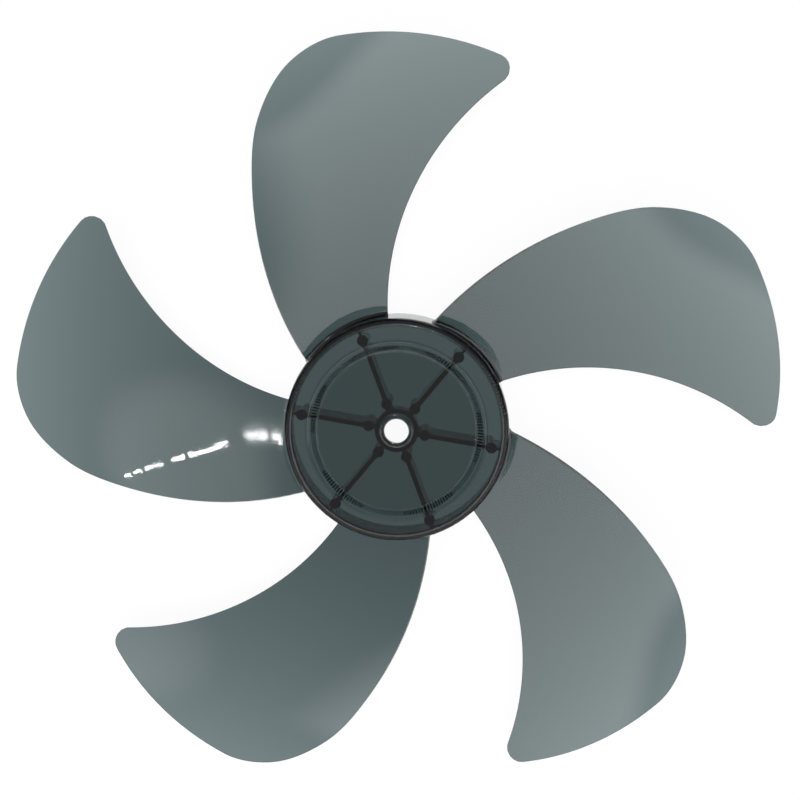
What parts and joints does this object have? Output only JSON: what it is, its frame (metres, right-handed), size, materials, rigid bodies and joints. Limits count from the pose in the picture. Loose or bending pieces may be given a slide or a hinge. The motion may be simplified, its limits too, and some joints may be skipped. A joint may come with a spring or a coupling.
{
  "type": "pedestal fan blade",
  "caption": "Swept, pitched fan blades on a cup-shaped hub with a shaft hole, boss and ribs, moulded in one clear smoke-grey plastic.",
  "frame": {"origin": "centre of the shaft hole, on the raised seat at the front of the hub", "axes": "+Z along the shaft towards the front, where the air leaves; +Y up and +X right as seen from the front in the picture; the part rests on the rear rim of its hub"},
  "size_m": [0.385, 0.3762, 0.0369],
  "materials": {
    "smoke_clear_plastic": "clear smoke-grey styrene plastic, glossy as moulded, darker where it is thick"
  },
  "bodies": {
    "root": {"fan_blade": "smoke_clear_plastic"}
  },
  "joints": []
}
